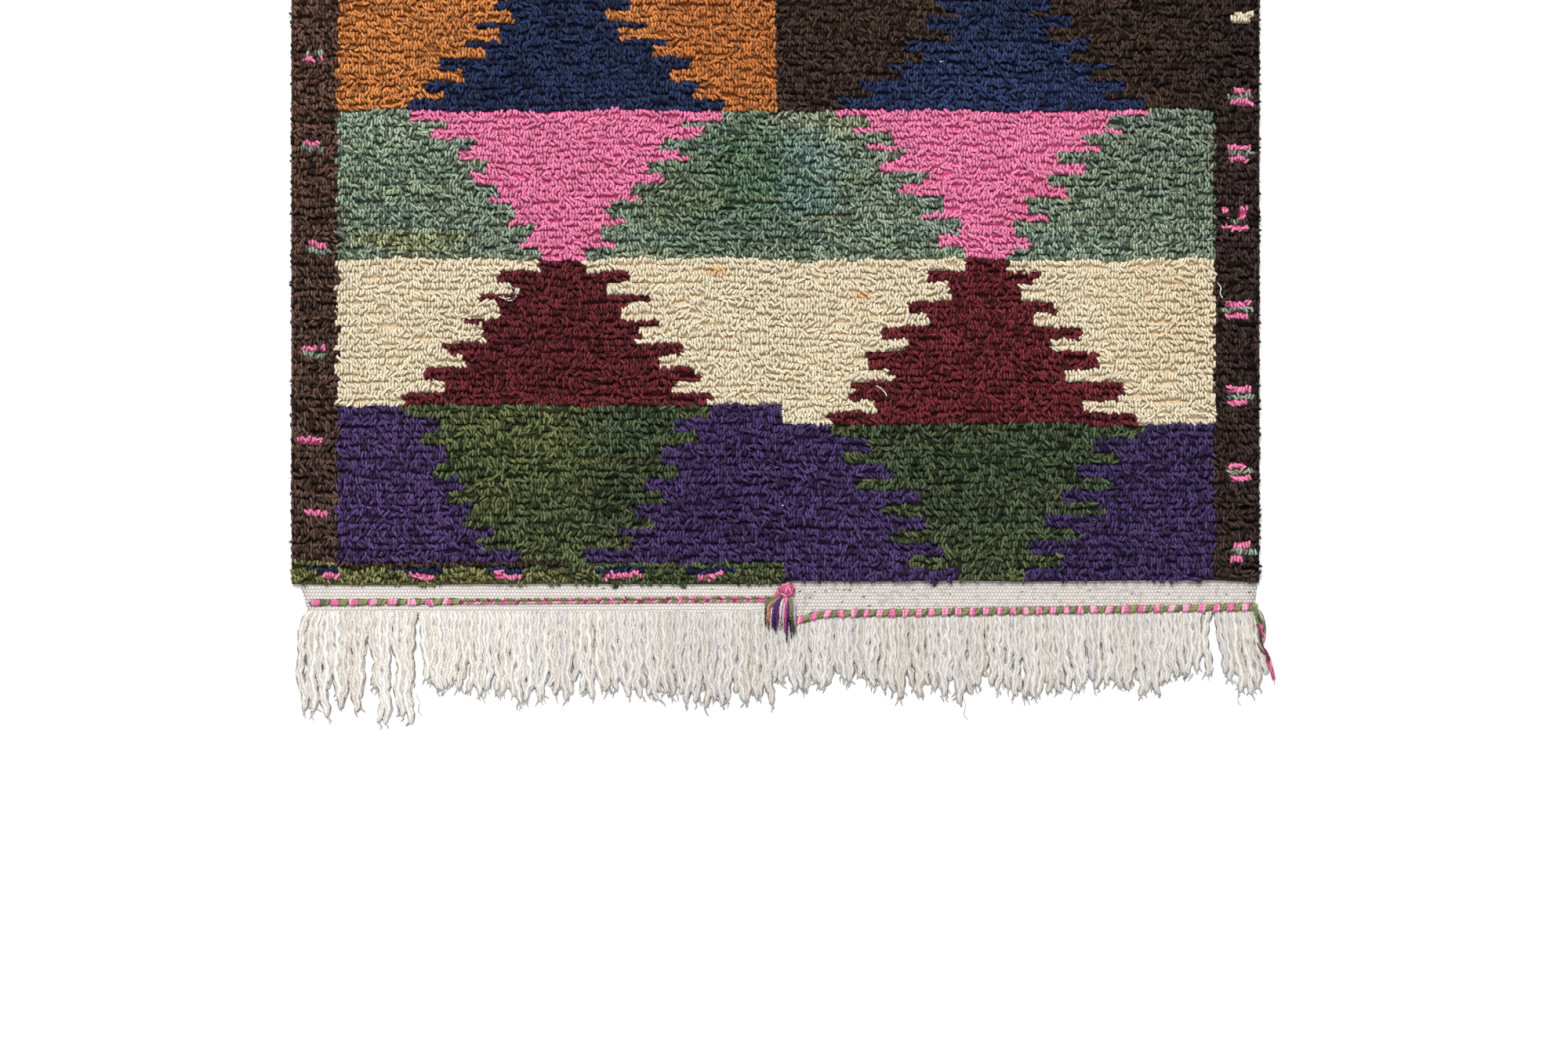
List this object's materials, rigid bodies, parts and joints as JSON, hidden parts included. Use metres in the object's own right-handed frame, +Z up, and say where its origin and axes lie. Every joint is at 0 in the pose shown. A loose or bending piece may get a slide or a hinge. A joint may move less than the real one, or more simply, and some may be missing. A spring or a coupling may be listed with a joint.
{
  "type": "looped wool pile rug with fringed ends",
  "caption": "Flat rug of looped wool pile on cotton, with serrated diamonds on coloured bands, bare webs, wool braids, a seam tassel and twisted fringes.",
  "frame": {"origin": "on the flat underside, at the middle of the rug's length and width", "axes": "+Y up the length of the rug, towards its plain end; +X to the right, seen from above; +Z up out of the pile"},
  "size_m": [1.2594, 1.8853, 0.0136],
  "materials": {
    "pile_wool": "matte looped wool pile, mixed colours",
    "wool_orange": "matte looped wool, uneven dye",
    "wool_navy": "matte looped wool",
    "wool_dark_brown": "matte looped wool, undyed dark fleece",
    "wool_pink": "matte looped wool",
    "wool_teal": "matte looped wool, uneven dye",
    "wool_cream": "matte looped wool, undyed",
    "wool_burgundy": "matte looped wool",
    "wool_purple": "matte looped wool",
    "wool_olive": "matte looped wool, uneven dye",
    "ground_cotton": "matte plain-woven cotton",
    "fringe_cotton": "matte twisted cotton",
    "braid_wool": "matte wool yarn in two colours",
    "tassel_wool": "matte wool yarn in several colours"
  },
  "bodies": {
    "root": {"panel_left": "pile_wool", "panel_right": "pile_wool", "fringe_lower_left": "fringe_cotton", "fringe_lower_right": "fringe_cotton", "fringe_upper_left": "fringe_cotton", "fringe_upper_right": "fringe_cotton", "braid_left": "braid_wool", "braid_right": "braid_wool", "braid_tail": "braid_wool", "tassel": "tassel_wool"}
  },
  "joints": []
}
